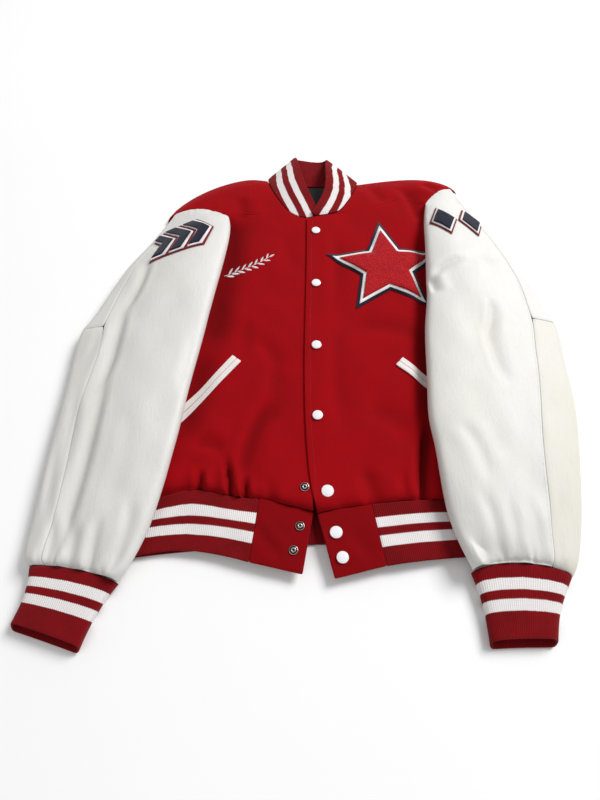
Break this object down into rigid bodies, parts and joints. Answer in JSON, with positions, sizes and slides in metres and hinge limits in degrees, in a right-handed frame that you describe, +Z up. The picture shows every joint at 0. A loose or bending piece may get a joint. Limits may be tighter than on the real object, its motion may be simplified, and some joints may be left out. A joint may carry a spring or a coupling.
{
  "type": "varsity jacket",
  "caption": "Varsity jacket laid flat on its back: red wool body, off-white leather sleeves, striped rib collar, cuffs and hem, snap front, slant pockets, star and badge patches.",
  "frame": {"origin": "middle of the jacket's box in plan, on the surface it lies on", "axes": "+Z up from the surface, +Y from the hem toward the collar, +X toward the wearer's left sleeve"},
  "size_m": [0.729, 0.8328, 0.0542],
  "materials": {
    "wool": "matte melton wool",
    "felt_navy": "felt",
    "chenille": "looped chenille",
    "felt_white": "felt",
    "rib": "rib knit with white stripes",
    "felt_red": "felt",
    "leather": "smooth off-white leather",
    "lining": "dark satin",
    "enamel": "glossy white enamel",
    "nickel": "nickel plate"
  },
  "bodies": {
    "root": {"back_panel": "wool", "chest_star_backing": "felt_navy", "chest_star_face": "chenille", "chest_star_outline": "felt_white", "collar": "rib", "hem_band": "rib", "left_badge_inner_backing": "felt_red", "left_badge_inner_face": "felt_navy", "left_badge_inner_outline": "felt_white", "left_badge_outer_backing": "felt_red", "left_badge_outer_face": "felt_navy", "left_badge_outer_outline": "felt_white", "left_cuff": "rib", "left_front": "wool", "left_hem_tab": "wool", "left_lower_under_sleeve": "leather", "left_pocket_lower_welt": "leather", "left_pocket_upper_welt": "leather", "left_top_sleeve": "leather", "left_upper_under_sleeve": "leather", "neck_lining": "lining", "right_badge_backing": "felt_red", "right_badge_chevron_1_face": "felt_navy", "right_badge_chevron_1_outline": "felt_white", "right_badge_chevron_2_face": "felt_navy", "right_badge_chevron_2_outline": "felt_white", "right_badge_chevron_3_face": "felt_navy", "right_badge_chevron_3_outline": "felt_white", "right_cuff": "rib", "right_front": "wool", "right_hem_tab": "wool", "right_lower_under_sleeve": "leather", "right_pocket_lower_welt": "leather", "right_pocket_upper_welt": "leather", "right_top_sleeve": "leather", "right_upper_under_sleeve": "leather", "snap_cap_1": "enamel", "snap_cap_2": "enamel", "snap_cap_3": "enamel", "snap_cap_4": "enamel", "snap_cap_5": "enamel", "snap_cap_6": "enamel", "snap_cap_7": "enamel", "snap_stud_1": "nickel", "snap_stud_2": "nickel", "snap_stud_3": "nickel"}
  },
  "joints": []
}
